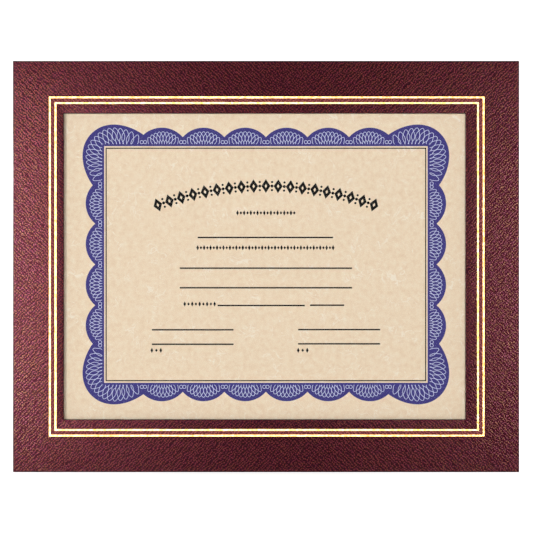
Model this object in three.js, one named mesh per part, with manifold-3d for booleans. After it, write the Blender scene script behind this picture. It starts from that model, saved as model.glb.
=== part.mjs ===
// A slide-in certificate holder: a leatherette-wrapped window board with two stamped gold rules,
// glued on three sides to a paper-covered back board. A letter-size certificate and its clear
// face sheet slide into the pocket from the right. A two-way board easel leg, hinged on a cloth
// strip and stopped by a ribbon, stands the holder on its long edge or on its left edge, and two
// ring hangers hang it either way up.
//
// Millimetres. Panel frame: x to the viewer's right, y to the back, z up the panel, with the
// leatherette face at y = 0 and the bottom edge at z = 0. The whole stands leaning back on its
// easel, on z = 0, with the origin under the middle of its box.

import * as THREE from "three";
import { mergeVertices } from "three/addons/utils/BufferGeometryUtils.js";
import Module from "manifold-3d";

const wasm = await Module();
wasm.setup();

// Driving dimensions: the outline, the window and the sheet that it shows
const FRAME_W = 336;
const FRAME_H = 273;
const WINDOW_W = 266.7;
const WINDOW_H = 203.2;
const SHEET_W = 279.4;
const SHEET_H = 215.9;
const WINDOW_SHIFT = -0.9; // the die-cut window sits a little left of the middle
const SHEET_SHIFT = -0.3;
const LEAN = THREE.MathUtils.degToRad(15);
const LEG_OPEN = THREE.MathUtils.degToRad(35);

// Materials by thickness, from the face to the back
const GLUE = 0.1; // glue line between two layers
const LEATHERETTE = 0.5;
const BOARD = 2;
const SPACER = 1.4;
const PAPER = 0.25;
const FACE_SHEET = 0.4;
const CLOTH = 0.4;
const STRAP = 0.4;

// Front panel
const EDGE_R = 1; // leatherette rolls over the board's edges
const CORNER_R = 1.6;
const OUTER_TURN_IN = 15;
const WINDOW_TURN_IN = 12;
const FRONT_T = 2 * LEATHERETTE + BOARD + 2 * GLUE;

// Stamped gold rules: centre lines of two rectangles
const RULE_INNER_W = 280.3;
const RULE_INNER_H = 216.9;
const RULE_STEP = 3.75;
const RULE_WIDTH = 1.25;
const RULE_SHIFT = 0.45;
const RULE_DEPTH = 0.25;
const FOIL = 0.12;
const FOIL_EASE = 0.05; // room round the foil in its groove

// Pocket and back panel
const BACK_INSET = 2.5; // back panel stands inside the front panel's edge
const BACK_CORNER_R = 2;
const POCKET_EASE = 1.3; // room beside the certificate
const SPACER_Y = FRONT_T + GLUE;
const LINING_Y = SPACER_Y + SPACER + GLUE;
const BACK_BOARD_Y = LINING_Y + PAPER + GLUE;
const BACK_COVER_Y = BACK_BOARD_Y + BOARD + GLUE;
const BACK_Y = BACK_COVER_Y + PAPER;
const NOTCH_R = 13; // thumb notch, a slot with a round end
const NOTCH_DEPTH = 33;

// Easel: board with paper on both faces, hinged at 45 degrees to the edges
const LEG_T = BOARD + 2 * PAPER + 2 * GLUE;
const HINGE_Y = BACK_Y + GLUE + LEG_T; // the fold runs in the outer face
const HINGE_Z = FRAME_W / 2; // as far from the bottom edge as from the left edge
const HINGE_TURN = Math.PI / 4;
const LEG_HALF_TOP = 23;
const LEG_HALF_FOOT = 30;
const FOOT_BLUNT = 8; // cut off the point between the two feet
const FLAP_LENGTH = 38;
const FLAP_HALF_TOP = 17;
const CREASE_HALF = 0.3; // half of the scored gap at the fold
const BOARD_CORNER_R = 4;
const CLOTH_REACH = 16;
const CLOTH_HALF = 21;
const RIBBON_W = 10;
const RIBBON_AT = 105; // from the fold, on the panel and on the leg
const RIBBON_TAIL = 14;

// Ring hangers: a strap curled round a ring, with two prongs clinched through the back board
const TOP_HANGER = { x: 0, z: 256, turn: 0 };
const SIDE_HANGER = { x: 112, z: FRAME_H / 2, turn: Math.PI / 2 };
const RING_R = 6.5;
const RING_WIRE_R = 0.75;
const RING_SET = 0.25; // the curved wire straddles the pin line by this much
const STRAP_W = 5;
const CURL_R = 1.4; // to the middle of the strap
const CURL_TURN = THREE.MathUtils.degToRad(230);
const STRAP_LENGTH = 12;
const PRONG_W = 1.6;
const PRONG_OFF = 1.5;
const PRONG_CLINCH = 4.5;
const PRONG_EASE = 0.1;

const MATERIALS = {
  leatherette: { color: 0x5c1c2b, roughness: 0.5, metalness: 0 },
  gold: { color: 0xe8c65a, roughness: 0.25, metalness: 1 },
  greyboard: { color: 0x8d8579, roughness: 0.9, metalness: 0 },
  parchment: { color: 0xe9d6b8, roughness: 0.8, metalness: 0 },
  blackPaper: { color: 0x1b1a1c, roughness: 0.7, metalness: 0 },
  lining: { color: 0xd9d4c8, roughness: 0.85, metalness: 0 },
  clear: { color: 0xf4f8fa, roughness: 0.05, metalness: 0, transparent: true, opacity: 0.2 },
  cloth: { color: 0x141315, roughness: 0.85, metalness: 0 },
  ribbon: { color: 0x20151a, roughness: 0.45, metalness: 0 },
  brass: { color: 0xc9a24a, roughness: 0.3, metalness: 1 },
};

function named(name, geometry, material) {
  const mesh = new THREE.Mesh(geometry, new THREE.MeshStandardMaterial(MATERIALS[material]));
  mesh.name = name;
  return mesh;
}

// Solids for cutting and joining
function toSolid(geometry) {
  const bare = geometry.clone();
  bare.deleteAttribute("normal");
  bare.deleteAttribute("uv");
  const merged = mergeVertices(bare, 1e-4);
  return new wasm.Manifold(
    new wasm.Mesh({
      numProp: 3,
      vertProperties: merged.attributes.position.array,
      triVerts: new Uint32Array(merged.index.array),
    }),
  );
}

function toGeometry(solid) {
  const mesh = solid.getMesh();
  const geometry = new THREE.BufferGeometry();
  geometry.setAttribute("position", new THREE.BufferAttribute(mesh.vertProperties, 3));
  geometry.setIndex(new THREE.BufferAttribute(mesh.triVerts, 1));
  geometry.computeVertexNormals();
  return geometry;
}

function cut(geometry, cutters) {
  const whole = cutters.reduce((solid, cutter) => solid.subtract(toSolid(cutter)), toSolid(geometry));
  return toGeometry(whole);
}

function join(geometries) {
  return toGeometry(geometries.map(toSolid).reduce((a, b) => a.add(b)));
}

// Outlines, drawn in the panel's x and z
function polygon(points, radius = 0) {
  const outline = new THREE.Shape();
  const count = points.length;
  points.forEach((corner, i) => {
    const before = points[(i + count - 1) % count];
    const after = points[(i + 1) % count];
    if (radius === 0) {
      outline[i === 0 ? "moveTo" : "lineTo"](corner.x, corner.y);
      return;
    }
    const start = corner.clone().add(before.clone().sub(corner).setLength(radius));
    const end = corner.clone().add(after.clone().sub(corner).setLength(radius));
    outline[i === 0 ? "moveTo" : "lineTo"](start.x, start.y);
    outline.quadraticCurveTo(corner.x, corner.y, end.x, end.y);
  });
  outline.closePath();
  return outline;
}

function corners(x0, x1, z0, z1) {
  return [
    new THREE.Vector2(x0, z0),
    new THREE.Vector2(x1, z0),
    new THREE.Vector2(x1, z1),
    new THREE.Vector2(x0, z1),
  ];
}

function rectangle(width, height, shift = 0, radius = 0) {
  const middle = FRAME_H / 2;
  const [halfW, halfH] = [width / 2, height / 2];
  return polygon(corners(shift - halfW, shift + halfW, middle - halfH, middle + halfH), radius);
}

function ring(outer, inner) {
  outer.holes.push(inner);
  return outer;
}

// A sheet of that outline, from y = front to y = front + thickness
function plate(outline, front, thickness, curveSegments = 6) {
  return new THREE.ExtrudeGeometry(outline, { depth: thickness, bevelEnabled: false, curveSegments })
    .rotateX(Math.PI / 2)
    .translate(0, front + thickness, 0);
}

// The same with its edges rolled over
function rolledPlate(outline, front, thickness, radius) {
  return new THREE.ExtrudeGeometry(outline, {
    depth: thickness - 2 * radius,
    bevelThickness: radius,
    bevelSize: radius,
    bevelOffset: -radius,
    bevelSegments: 5,
    curveSegments: 4,
  })
    .rotateX(Math.PI / 2)
    .translate(0, front + thickness - radius, 0);
}

// A strip of even thickness along a bent line of (z, y) points, with its width along x
function strip(line, thickness, width) {
  const side = (sign) =>
    line.map((point, i) => {
      const into = point.clone().sub(line[Math.max(i - 1, 0)]);
      const out = line[Math.min(i + 1, line.length - 1)].clone().sub(point);
      const first = into.length() > 0 ? into.normalize() : out.clone().normalize();
      const second = out.length() > 0 ? out.normalize() : first;
      const mitre = first.clone().add(second).normalize();
      const reach = (sign * thickness) / 2 / mitre.dot(first);
      return new THREE.Vector2(point.x - mitre.y * reach, point.y + mitre.x * reach);
    });
  const outline = polygon([...side(-1), ...side(1).reverse()]);
  return new THREE.ExtrudeGeometry(outline, { depth: width, bevelEnabled: false })
    .translate(0, 0, -width / 2)
    .rotateY(-Math.PI / 2);
}

// Front panel: board, leatherette wrapped round its outer edges and through its window, gold rules

const frameOutline = () => rectangle(FRAME_W, FRAME_H, 0, CORNER_R);

function frontRing(inset) {
  return ring(
    rectangle(FRAME_W - 2 * inset, FRAME_H - 2 * inset),
    rectangle(WINDOW_W + 2 * inset, WINDOW_H + 2 * inset, WINDOW_SHIFT),
  );
}

function frontBoard() {
  return plate(frontRing(LEATHERETTE + GLUE), LEATHERETTE + GLUE, BOARD);
}

function ruleRing(step, width) {
  const [w, h] = [RULE_INNER_W + 2 * step, RULE_INNER_H + 2 * step];
  return ring(rectangle(w + width, h + width, RULE_SHIFT), rectangle(w - width, h - width, RULE_SHIFT));
}

function goldRule(step) {
  const front = RULE_DEPTH - FOIL_EASE - FOIL;
  return plate(ruleRing(step, RULE_WIDTH - 2 * FOIL_EASE), front, FOIL);
}

function frontCover() {
  const wrapped = ring(frameOutline(), rectangle(WINDOW_W, WINDOW_H, WINDOW_SHIFT));
  const boardSpace = plate(frontRing(LEATHERETTE), LEATHERETTE, BOARD + 2 * GLUE);
  const bareBack = ring(
    rectangle(FRAME_W - 2 * OUTER_TURN_IN, FRAME_H - 2 * OUTER_TURN_IN),
    rectangle(WINDOW_W + 2 * WINDOW_TURN_IN, WINDOW_H + 2 * WINDOW_TURN_IN, WINDOW_SHIFT),
  );
  const grooves = [0, RULE_STEP].map((step) => plate(ruleRing(step, RULE_WIDTH), -1, 1 + RULE_DEPTH));
  return cut(rolledPlate(wrapped, 0, FRONT_T, EDGE_R), [
    boardSpace,
    plate(bareBack, FRONT_T - LEATHERETTE - GLUE, LEATHERETTE + 2 * GLUE),
    ...grooves,
  ]);
}

// Pocket: three spacer strips, the clear face sheet and the certificate

const pocketLeft = SHEET_SHIFT - SHEET_W / 2 - POCKET_EASE;
const pocketHalf = SHEET_H / 2 + POCKET_EASE;
const backRight = FRAME_W / 2 - BACK_INSET;

function spacer(x0, x1, z0, z1) {
  return plate(polygon(corners(x0, x1, z0, z1)), SPACER_Y, SPACER);
}

function spacers() {
  const [low, high] = [BACK_INSET, FRAME_H - BACK_INSET];
  const middle = FRAME_H / 2;
  return [
    named("spacer_left", spacer(-backRight, pocketLeft, low, high), "greyboard"),
    named("spacer_top", spacer(pocketLeft + GLUE, backRight, middle + pocketHalf, high), "greyboard"),
    named("spacer_bottom", spacer(pocketLeft + GLUE, backRight, low, middle - pocketHalf), "greyboard"),
  ];
}

const faceSheetY = SPACER_Y + GLUE;
const certificateY = faceSheetY + FACE_SHEET + GLUE;

function sheet(front, thickness) {
  return plate(rectangle(SHEET_W, SHEET_H, SHEET_SHIFT), front, thickness);
}

// Back panel: lining, board and cover share one outline, with a thumb notch at the open side

function backOutline() {
  const [low, high] = [BACK_INSET, FRAME_H - BACK_INSET];
  const notchZ = FRAME_H / 2;
  const notchEnd = backRight - NOTCH_DEPTH + NOTCH_R;
  const r = BACK_CORNER_R;
  const outline = new THREE.Shape();
  outline.moveTo(-backRight + r, low);
  outline.lineTo(backRight - r, low);
  outline.absarc(backRight - r, low + r, r, -Math.PI / 2, 0, false);
  outline.lineTo(backRight, notchZ - NOTCH_R);
  outline.lineTo(notchEnd, notchZ - NOTCH_R);
  outline.absarc(notchEnd, notchZ, NOTCH_R, -Math.PI / 2, Math.PI / 2, true);
  outline.lineTo(backRight, notchZ + NOTCH_R);
  outline.lineTo(backRight, high - r);
  outline.absarc(backRight - r, high - r, r, 0, Math.PI / 2, false);
  outline.lineTo(-backRight + r, high);
  outline.absarc(-backRight + r, high - r, r, Math.PI / 2, Math.PI, false);
  outline.lineTo(-backRight, low + r);
  outline.absarc(-backRight + r, low + r, r, Math.PI, 1.5 * Math.PI, false);
  return outline;
}

const NOTCH_SEGMENTS = 12;

function backSheet(front, thickness) {
  return plate(backOutline(), front, thickness, NOTCH_SEGMENTS);
}

// Ring hangers, in a frame with its origin on the back cover: x along the ring's pin line and
// the strap running to -z

const strapY = GLUE + STRAP / 2;
const curlY = strapY + CURL_R;
const clinchY = BACK_BOARD_Y - BACK_Y + GLUE + STRAP / 2;

function hangerStrap() {
  const curl = new THREE.EllipseCurve(0, curlY, CURL_R, CURL_R, -Math.PI / 2, -Math.PI / 2 - CURL_TURN, true)
    .getPoints(16)
    .reverse();
  const strap = strip([...curl, new THREE.Vector2(-STRAP_LENGTH, strapY)], STRAP, STRAP_W);
  const bend = STRAP_LENGTH - STRAP / 2;
  const prongLine = [
    new THREE.Vector2(-bend + 2 * STRAP, strapY),
    new THREE.Vector2(-bend, strapY),
    new THREE.Vector2(-bend, clinchY),
    new THREE.Vector2(-bend + PRONG_CLINCH, clinchY),
  ];
  const prongs = [-PRONG_OFF, PRONG_OFF].map((x) => strip(prongLine, STRAP, PRONG_W).translate(x, 0, 0));
  return join([strap, ...prongs]);
}

function hangerRing() {
  return new THREE.TorusGeometry(RING_R, RING_WIRE_R, 10, 36)
    .rotateX(Math.PI / 2)
    .translate(0, 0, -(RING_R - RING_SET));
}

// Room in the back panel for a hanger's prongs: a slot each, and a recess for the clinched end
function prongRoom(hanger) {
  const bend = STRAP_LENGTH - STRAP / 2;
  const width = PRONG_W + 2 * PRONG_EASE;
  const slot = STRAP + 2 * PRONG_EASE;
  const through = BACK_Y - LINING_Y;
  const recessDepth = 2 * GLUE + STRAP + PRONG_EASE;
  const recessLength = PRONG_CLINCH + STRAP + PRONG_EASE;
  return [-PRONG_OFF, PRONG_OFF].flatMap((x) =>
    [
      new THREE.BoxGeometry(width, 2 * through, slot).translate(x, 0, -bend),
      new THREE.BoxGeometry(width, recessDepth, recessLength).translate(
        x,
        BACK_BOARD_Y - BACK_Y - GLUE + recessDepth / 2,
        -bend - slot / 2 + recessLength / 2,
      ),
    ].map((box) => box.rotateY(hanger.turn).translate(hanger.x, BACK_Y, hanger.z)),
  );
}

function hanger(label, place, swing) {
  const mount = new THREE.Group();
  mount.name = `${label}_hanger`;
  mount.position.set(place.x, BACK_Y, place.z);
  mount.rotation.y = place.turn;
  const pin = new THREE.Group();
  pin.name = `${label}_ring_pin`;
  pin.position.y = curlY;
  pin.rotation.x = swing;
  pin.add(named(`${label}_hanger_ring`, hangerRing(), "brass"));
  mount.add(named(`${label}_hanger_strap`, hangerStrap(), "brass"), pin);
  return mount;
}

// Easel, in a frame with x along the fold, y out of the back and the leg running to -z. The foot
// has two edges at right angles to each other: one meets the floor with the holder on its long
// edge, the other with it on its left edge.

const diagonal = Math.SQRT1_2;
const floorBelowPanel = EDGE_R * Math.cos(LEAN) - (FRONT_T - EDGE_R) * Math.sin(LEAN) - EDGE_R;
const legFall = diagonal * Math.cos(LEG_OPEN) * Math.cos(LEAN) + Math.sin(LEG_OPEN) * Math.sin(LEAN);
const innerFaceRise = diagonal * Math.sin(LEG_OPEN) * Math.cos(LEAN) - Math.cos(LEG_OPEN) * Math.sin(LEAN);
const hingeHeight = HINGE_Z * Math.cos(LEAN) - HINGE_Y * Math.sin(LEAN) - floorBelowPanel;
const legReach = (hingeHeight - LEG_T * innerFaceRise) / legFall;
const footSlope = (diagonal * Math.cos(LEAN)) / legFall;

function legOutline() {
  const bluntHalf = FOOT_BLUNT / footSlope;
  const footEnd = legReach - LEG_HALF_FOOT * footSlope;
  const half = [
    new THREE.Vector2(LEG_HALF_TOP, -CREASE_HALF),
    new THREE.Vector2(LEG_HALF_FOOT, -footEnd),
    new THREE.Vector2(bluntHalf, -(legReach - FOOT_BLUNT)),
  ];
  const mirrored = half.map((p) => new THREE.Vector2(-p.x, p.y));
  return polygon([...mirrored, ...half.reverse()], BOARD_CORNER_R / 2);
}

function flapOutline() {
  return polygon(
    [
      new THREE.Vector2(-LEG_HALF_TOP, CREASE_HALF),
      new THREE.Vector2(LEG_HALF_TOP, CREASE_HALF),
      new THREE.Vector2(FLAP_HALF_TOP, FLAP_LENGTH),
      new THREE.Vector2(-FLAP_HALF_TOP, FLAP_LENGTH),
    ],
    BOARD_CORNER_R,
  );
}

// A point on the leg, given in the leg's own z and y, turned open with it
function onLeg(z, y) {
  return new THREE.Vector2(z, y).rotateAround(new THREE.Vector2(), -LEG_OPEN);
}

function hingeCloth() {
  const lift = GLUE + CLOTH / 2;
  const fold = lift * Math.tan(LEG_OPEN / 2);
  const line = [new THREE.Vector2(CLOTH_REACH, lift), new THREE.Vector2(fold, lift), onLeg(-CLOTH_REACH, lift)];
  return strip(line, CLOTH, 2 * CLOTH_HALF);
}

function stayRibbon() {
  const onPanelY = -LEG_T - GLUE + GLUE + CLOTH / 2;
  const onLegY = -LEG_T - GLUE - CLOTH / 2;
  const line = [
    new THREE.Vector2(-RIBBON_AT - RIBBON_TAIL, onPanelY),
    new THREE.Vector2(-RIBBON_AT, onPanelY),
    onLeg(-RIBBON_AT, onLegY),
    onLeg(-RIBBON_AT - RIBBON_TAIL, onLegY),
  ];
  return strip(line, CLOTH, RIBBON_W);
}

function easel() {
  const innerPaperY = -LEG_T;
  const coreY = innerPaperY + PAPER + GLUE;
  const outerPaperY = coreY + BOARD + GLUE;
  const mount = new THREE.Group();
  mount.name = "easel_fold";
  mount.position.set(0, HINGE_Y, HINGE_Z);
  mount.rotation.y = HINGE_TURN;
  const leg = new THREE.Group();
  leg.rotation.x = LEG_OPEN;
  leg.add(
    named("easel_leg_inner_paper", plate(legOutline(), innerPaperY, PAPER), "blackPaper"),
    named("easel_leg_core", plate(legOutline(), coreY, BOARD), "greyboard"),
    named("easel_leg_outer_paper", plate(legOutline(), outerPaperY, PAPER), "blackPaper"),
  );
  mount.add(
    named("easel_flap_core", plate(flapOutline(), innerPaperY, BOARD + PAPER + GLUE), "greyboard"),
    named("easel_flap_paper", plate(flapOutline(), outerPaperY, PAPER), "blackPaper"),
    named("hinge_cloth", hingeCloth(), "cloth"),
    named("stay_ribbon", stayRibbon(), "ribbon"),
    leg,
  );
  return mount;
}

// The whole holder, leaning back on its easel

const prongRooms = [TOP_HANGER, SIDE_HANGER].flatMap(prongRoom);
const panel = new THREE.Group();
panel.add(
  named("front_cover", frontCover(), "leatherette"),
  named("front_board", frontBoard(), "greyboard"),
  named("gold_rule_inner", goldRule(0), "gold"),
  named("gold_rule_outer", goldRule(RULE_STEP), "gold"),
  ...spacers(),
  named("face_sheet", sheet(faceSheetY, FACE_SHEET), "clear"),
  named("certificate", sheet(certificateY, PAPER), "parchment"),
  named("back_lining", backSheet(LINING_Y, PAPER), "lining"),
  named("back_board", cut(backSheet(BACK_BOARD_Y, BOARD), prongRooms), "greyboard"),
  named("back_cover", cut(backSheet(BACK_COVER_Y, PAPER), prongRooms), "blackPaper"),
  hanger("top", TOP_HANGER, LEAN),
  hanger("side", SIDE_HANGER, Math.PI / 2),
  easel(),
);
panel.rotation.x = -LEAN;
panel.position.z = -floorBelowPanel;

const holder = new THREE.Group();
holder.add(panel);
const box = new THREE.Box3().setFromObject(holder, true);
panel.position.y -= (box.min.y + box.max.y) / 2;

export default holder;
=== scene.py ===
import math

import bpy
from mathutils import Matrix, Vector


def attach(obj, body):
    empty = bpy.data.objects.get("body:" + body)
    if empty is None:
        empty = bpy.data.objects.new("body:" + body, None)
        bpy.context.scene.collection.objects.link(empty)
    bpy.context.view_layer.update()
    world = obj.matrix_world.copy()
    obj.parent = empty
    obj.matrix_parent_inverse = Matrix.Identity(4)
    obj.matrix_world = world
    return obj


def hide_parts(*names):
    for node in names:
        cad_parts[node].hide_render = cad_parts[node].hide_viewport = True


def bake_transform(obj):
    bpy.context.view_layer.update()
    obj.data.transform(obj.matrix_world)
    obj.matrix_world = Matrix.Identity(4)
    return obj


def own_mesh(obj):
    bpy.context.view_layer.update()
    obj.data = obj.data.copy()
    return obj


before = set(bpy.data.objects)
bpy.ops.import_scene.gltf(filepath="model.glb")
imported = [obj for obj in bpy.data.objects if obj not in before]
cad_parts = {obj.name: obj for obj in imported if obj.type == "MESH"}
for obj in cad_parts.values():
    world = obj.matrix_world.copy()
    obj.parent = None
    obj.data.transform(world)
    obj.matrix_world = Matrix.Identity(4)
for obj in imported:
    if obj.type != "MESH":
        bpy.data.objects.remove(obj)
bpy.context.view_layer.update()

# Camera: the holder leans back 15 degrees on its easel, and the photograph looks square onto its
# face. PANEL stands the flat panel up: x to the right, y to the back, z up from the bottom edge.
LEAN = math.radians(15)
FRAME_H = 0.273
MIDDLE_Z = FRAME_H / 2
BOTTOM_EDGE = (0, -0.0714766, 0.0006035)
PANEL = Matrix.Translation(BOTTOM_EDGE) @ Matrix.Rotation(-LEAN, 4, "X")
VIEW_DISTANCE = 0.9
VIEW_WIDTH = 0.3536
VIEW_SHIFT = 0.0003
SENSOR = 36
viewpoint = PANEL @ Vector((VIEW_SHIFT, -VIEW_DISTANCE, MIDDLE_Z))
bpy.ops.object.select_all(action="DESELECT")
bpy.ops.object.camera_add(location=viewpoint, rotation=(math.pi / 2 - LEAN, 0, 0))
camera = bpy.context.object
camera.data.sensor_fit = "HORIZONTAL"
camera.data.sensor_width = SENSOR
camera.data.lens = SENSOR * VIEW_DISTANCE / VIEW_WIDTH
bpy.context.scene.camera = camera

# Front board and the other boards inside: grey recycled millboard, die-cut, with cut edges that
# show their felted fibres wherever no paper covers them.
FELT_GREYS = [(0.3, (0.17, 0.145, 0.115)), (0.55, (0.3, 0.262, 0.21)), (0.75, (0.4, 0.36, 0.3))]


def new_material(name):
    material = bpy.data.materials.new(name)
    material.use_nodes = True
    tree = material.node_tree
    return material, tree, tree.nodes["Principled BSDF"]


def add_node(tree, kind, **sockets):
    node = tree.nodes.new(kind)
    for socket, value in sockets.items():
        node.inputs[socket.replace("_", " ")].default_value = value
    return node


def object_coordinates(tree):
    """Object coordinates turned to lie along the leaning panel's own x, y and z."""
    source = tree.nodes.new("ShaderNodeTexCoord")
    upright = add_node(tree, "ShaderNodeMapping", Rotation=(LEAN, 0, 0))
    tree.links.new(source.outputs["Object"], upright.inputs["Vector"])
    return upright.outputs["Vector"]


def noise(tree, where, scale, detail=2, roughness=0.5, distortion=0.0):
    node = add_node(tree, "ShaderNodeTexNoise", Scale=scale, Detail=detail, Roughness=roughness,
                    Distortion=distortion)
    tree.links.new(where, node.inputs["Vector"])
    return node.outputs["Fac"]


def ramp(tree, value, stops):
    node = tree.nodes.new("ShaderNodeValToRGB")
    elements = node.color_ramp.elements
    while len(elements) < len(stops):
        elements.new(1)
    for element, (position, colour) in zip(elements, stops):
        element.position = position
        element.color = (*colour, 1)
    tree.links.new(value, node.inputs["Fac"])
    return node.outputs["Color"]


def tint(tree, shader, value, stops):
    """Colours a surface by a pattern's value, from one stop to the next."""
    tree.links.new(ramp(tree, value, stops), shader.inputs["Base Color"])


def bump(tree, shader, height, distance, strength=1.0):
    node = add_node(tree, "ShaderNodeBump", Strength=strength, Distance=distance)
    tree.links.new(height, node.inputs["Height"])
    tree.links.new(node.outputs["Normal"], shader.inputs["Normal"])


def dress_node(name, material):
    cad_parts[name].material_slots[0].material = material


millboard, tree, shader = new_material("millboard")
felt = noise(tree, object_coordinates(tree), scale=900, detail=4, roughness=0.7)
tint(tree, shader, felt, FELT_GREYS)
shader.inputs["Roughness"].default_value = 0.92
bump(tree, shader, felt, distance=0.0002)
for board in ("front_board", "spacer_left", "spacer_top", "spacer_bottom", "back_board",
              "easel_flap_core", "easel_leg_core"):
    dress_node(board, millboard)

# Cover of the front panel: one sheet of burgundy grained leatherette, wrapped over the board's outer
# edges and through its window and glued down behind, with two grooves pressed in for the gold.
FRAME_W = 0.336
FRONT_T = 0.0032
LEATHER = 0.0005
ROLL = 0.00045
RULE_W = 0.00125
RULE_SHIFT = 0.00045
RULES = ((0.2878, 0.2244), (0.2803, 0.2169))
RULE_GAP = (RULES[0][0] - RULES[1][0]) / 2
GROOVE = 0.0002
WINDOW_W = 0.2667
WINDOW_H = 0.2032
WINDOW_SHIFT = -0.0009
OUTER_TURN_IN = 0.015
WINDOW_TURN_IN = 0.012
BEHIND_BOARD = 0.9 * FRONT_T
RIM_MARGIN = 0.001
MERGE = 0.00001
LOOP_STEP = 0.009
EDGE_LOOP = 0.0012


def select_only(piece):
    bpy.ops.object.select_all(action="DESELECT")
    piece.select_set(True)
    bpy.context.view_layer.objects.active = piece


def edit(piece):
    select_only(piece)
    bpy.ops.object.mode_set(mode="EDIT")


def leave_edit():
    bpy.ops.object.mode_set(mode="OBJECT")


def pick(piece, mode, wanted):
    """In edit mode, selects the edges or faces whose middle is where wanted says."""
    bpy.ops.mesh.select_mode(type=mode)
    bpy.ops.mesh.select_all(action="DESELECT")
    leave_edit()
    points = [vertex.co for vertex in piece.data.vertices]
    for element in {"EDGE": piece.data.edges, "FACE": piece.data.polygons}[mode]:
        ends = [points[i] for i in element.vertices]
        element.select = wanted(sum(ends, Vector()) / len(ends))
    edit(piece)


def pick_rims():
    """In edit mode, selects the open edges of a sheet."""
    bpy.ops.mesh.select_mode(type="EDGE")
    bpy.ops.mesh.select_all(action="DESELECT")
    bpy.ops.mesh.select_non_manifold()


def thicken(piece, thickness, offset):
    """Gives a sheet its thickness, behind its face for an offset of -1 and to both sides for 0."""
    body = piece.modifiers.new("thickness", "SOLIDIFY")
    body.thickness = thickness
    body.offset = offset


def apply_modifiers(piece):
    bpy.context.view_layer.objects.active = piece
    for modifier in list(piece.modifiers):
        bpy.ops.object.modifier_apply(modifier=modifier.name)


def settle(piece, place):
    """Puts a piece modelled round its own origin where it belongs, with its place in its mesh."""
    select_only(piece)
    piece.matrix_world = place @ piece.matrix_world
    bpy.ops.object.transform_apply(location=True, rotation=True, scale=True)


def upright_plane(name, width, height, shift=0, y=0):
    """A sheet facing the viewer, round the middle of the panel."""
    bpy.ops.object.select_all(action="DESELECT")
    bpy.ops.mesh.primitive_plane_add(
        size=1, location=(shift, y, MIDDLE_Z), rotation=(math.pi / 2, 0, 0)
    )
    piece = bpy.context.object
    piece.name = piece.data.name = name
    piece.scale = (width, height, 1)
    bpy.ops.object.transform_apply(location=True, rotation=True, scale=True)
    return piece


def stretch_to(size_now, size_then, shift):
    """Stretches what is selected from one rectangle to another, round the middle of the panel."""
    across, up = (then / now for now, then in zip(size_now, size_then))
    bpy.ops.transform.resize(value=(across, 1, up), center_override=(shift, 0, MIDDLE_Z))


def inset_to(size_now, size_then, shift_now, shift_then):
    """Insets the selected face, then stretches and shifts it to its next rectangle."""
    thin = 0.001
    bpy.ops.mesh.inset(thickness=thin, depth=0)
    stretch_to([side - 2 * thin for side in size_now], size_then, shift_now)
    bpy.ops.transform.translate(value=(shift_then - shift_now, 0, 0))


def outside_inner_rule(middle):
    """How far a point of the face is outside the middle line of the inner rule."""
    inner_w, inner_h = RULES[1]
    return max(abs(middle.x - RULE_SHIFT) - inner_w / 2, abs(middle.z - MIDDLE_Z) - inner_h / 2)


def on_rule(middle):
    return any(abs(outside_inner_rule(middle) - step) < RULE_W / 2 for step in (0, RULE_GAP))


leather = upright_plane("leatherette_cover", FRAME_W, FRAME_H)
edit(leather)
bpy.ops.mesh.select_all(action="SELECT")
rectangles = [((FRAME_W, FRAME_H), 0)]
for rule_w, rule_h in RULES:
    for side in (RULE_W, -RULE_W):
        rectangles.append(((rule_w + side, rule_h + side), RULE_SHIFT))
rectangles.append(((WINDOW_W, WINDOW_H), WINDOW_SHIFT))
for (size_now, shift_now), (size_then, shift_then) in zip(rectangles, rectangles[1:]):
    inset_to(size_now, size_then, shift_now, shift_then)
bpy.ops.mesh.delete(type="ONLY_FACE")
pick(leather, "FACE", on_rule)
bpy.ops.mesh.inset(thickness=GROOVE, depth=-GROOVE)


# Walls and turned-in edges: the sheet's two rims are drawn back and folded behind the board
def at_window(middle):
    within_width = abs(middle.x - WINDOW_SHIFT) < WINDOW_W / 2 + RIM_MARGIN
    return within_width and abs(middle.z - MIDDLE_Z) < WINDOW_H / 2 + RIM_MARGIN


def fold_in(on_this_rim, size, turn_in, shift):
    pick(leather, "EDGE", lambda middle: middle.y > BEHIND_BOARD and on_this_rim(middle))
    bpy.ops.mesh.extrude_edges_move(TRANSFORM_OT_translate={"value": (0, 0, 0)})
    stretch_to(size, [side + 2 * turn_in for side in size], shift)


pick_rims()
bpy.ops.mesh.extrude_edges_move(TRANSFORM_OT_translate={"value": (0, FRONT_T, 0)})
fold_in(lambda middle: not at_window(middle), (FRAME_W, FRAME_H), -OUTER_TURN_IN, 0)
fold_in(at_window, (WINDOW_W, WINDOW_H), WINDOW_TURN_IN, WINDOW_SHIFT)

# The rolled edges, then enough loops across the sheet for the board's slight waviness to show, with
# one near each outer edge that keeps the face flat up to its roll
bpy.ops.mesh.select_all(action="SELECT")
bpy.ops.mesh.remove_doubles(threshold=MERGE)
bpy.ops.mesh.normals_make_consistent(inside=False)
bpy.ops.mesh.select_all(action="DESELECT")
bpy.ops.mesh.select_mode(type="EDGE")
bpy.ops.mesh.edges_select_sharp(sharpness=math.radians(60))
bpy.ops.mesh.bevel(offset=ROLL, segments=5, profile=0.5, affect="EDGES")
for facing, start, reach in ((Vector((1, 0, 0)), -FRAME_W / 2, FRAME_W), (Vector((0, 0, 1)), 0, FRAME_H)):
    count = int(reach / LOOP_STEP)
    for cut in (EDGE_LOOP, *(reach * i / count for i in range(1, count)), reach - EDGE_LOOP):
        bpy.ops.mesh.select_all(action="SELECT")
        bpy.ops.mesh.bisect(plane_co=facing * (start + cut), plane_no=facing)
leave_edit()
waves = bpy.data.textures.new("board_waves", "CLOUDS")
waves.noise_scale = 0.07
wave = leather.modifiers.new("waves", "DISPLACE")
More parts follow.
